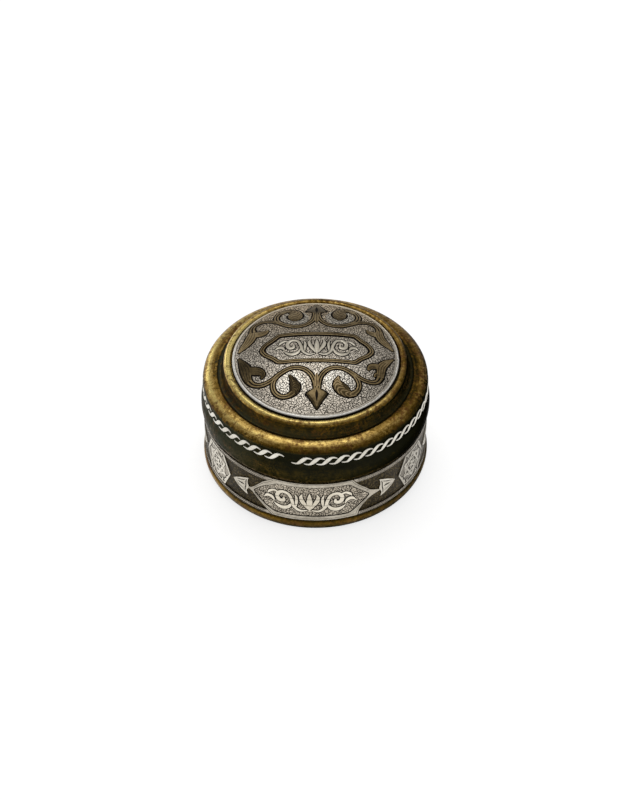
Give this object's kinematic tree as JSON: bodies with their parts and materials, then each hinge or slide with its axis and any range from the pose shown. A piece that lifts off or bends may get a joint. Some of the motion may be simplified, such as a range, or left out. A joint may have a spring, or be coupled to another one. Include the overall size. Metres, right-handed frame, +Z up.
{
  "type": "round trinket box",
  "caption": "Round footed metal box with a domed lift-off lid, moulded shoulder, inlaid panels, scrolls and a rope band.",
  "frame": {"origin": "on the axis of the box, at the plane that its foot stands on", "axes": "+Z up along the axis of the box; -Y towards the front, where one wall cartouche is centred; +X to the right seen from the front"},
  "size_m": [0.1, 0.1, 0.0627],
  "materials": {
    "brass": "old polish with brown and green patina in the hollows",
    "plain_brass": "unpolished turned brass",
    "silver": "chased silver sheet with dark lines",
    "copper": "dark engraved copper"
  },
  "bodies": {
    "box": {"body_wall": "brass", "base_plate": "plain_brass", "inner_collar": "plain_brass", "upper_border_1": "silver", "upper_border_2": "silver", "upper_border_3": "silver", "lower_border_1": "silver", "lower_border_2": "silver", "lower_border_3": "silver", "wall_cartouche_1": "silver", "wall_cartouche_2": "silver", "wall_cartouche_3": "silver", "wall_medallion_1": "silver", "wall_medallion_2": "silver", "wall_medallion_3": "silver", "leaf_bud_1": "silver", "leaf_bud_2": "silver", "leaf_bud_3": "silver", "leaf_bud_4": "silver", "leaf_bud_5": "silver", "leaf_bud_6": "silver"},
    "lid": {"lid_shell": "brass", "lid_field": "silver", "lid_panel": "silver", "panel_frame": "copper", "scrollwork_front": "copper", "scrollwork_back": "copper", "rope_inlay": "silver"}
  },
  "joints": [
    {"name": "lid_lift", "type": "slide", "parent": "box", "child": "lid", "axis": [0, 0, 1], "range_m": [0, 0.04]}
  ]
}
